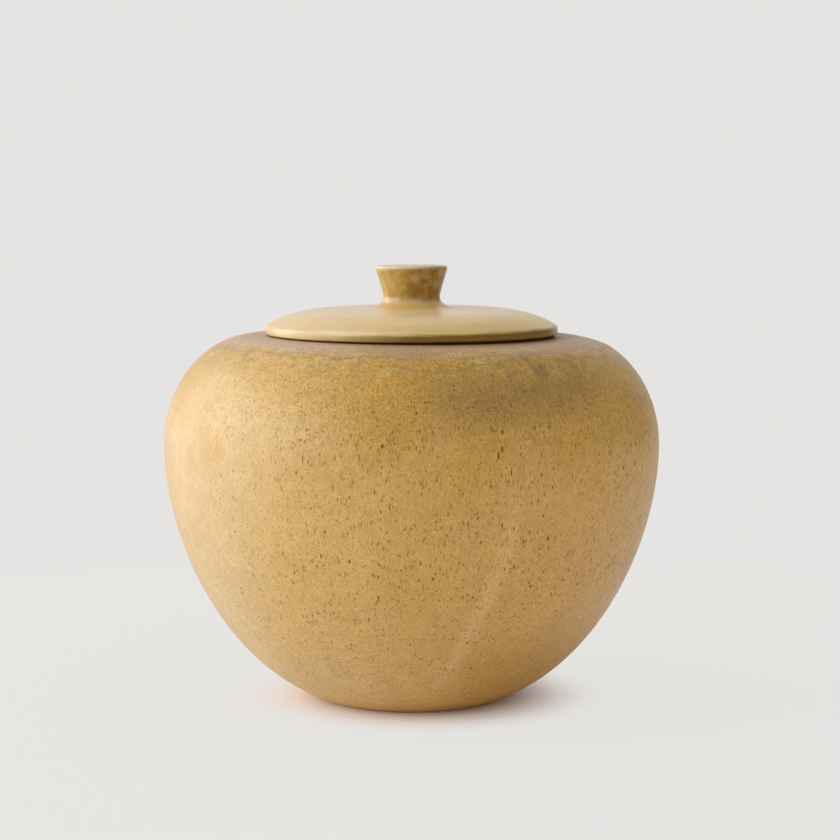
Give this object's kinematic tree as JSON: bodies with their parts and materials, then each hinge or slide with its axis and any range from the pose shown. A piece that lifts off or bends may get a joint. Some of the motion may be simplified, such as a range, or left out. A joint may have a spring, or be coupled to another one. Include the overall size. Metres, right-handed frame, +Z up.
{
  "type": "lidded jar",
  "caption": "Round-bellied glazed stoneware jar on a narrow foot, with a shallow domed lid that overlaps the mouth and lifts off by a flared knob.",
  "frame": {"origin": "on the turning axis, in the plane of the foot ring that the jar stands on", "axes": "+Z up along the turning axis, towards the knob; the part is round, so X and Y are free"},
  "size_m": [0.25, 0.25, 0.2188],
  "materials": {
    "speckled_glaze": "satin",
    "lid_glaze": "gloss",
    "knob_glaze": "gloss"
  },
  "bodies": {
    "jar": {"jar_body": "speckled_glaze"},
    "lid": {"lid": "lid_glaze", "lid_knob": "knob_glaze"}
  },
  "joints": [
    {"name": "lid_lift", "type": "slide", "parent": "jar", "child": "lid", "axis": [0, 0, 1], "range_m": [0, 0.16]}
  ]
}
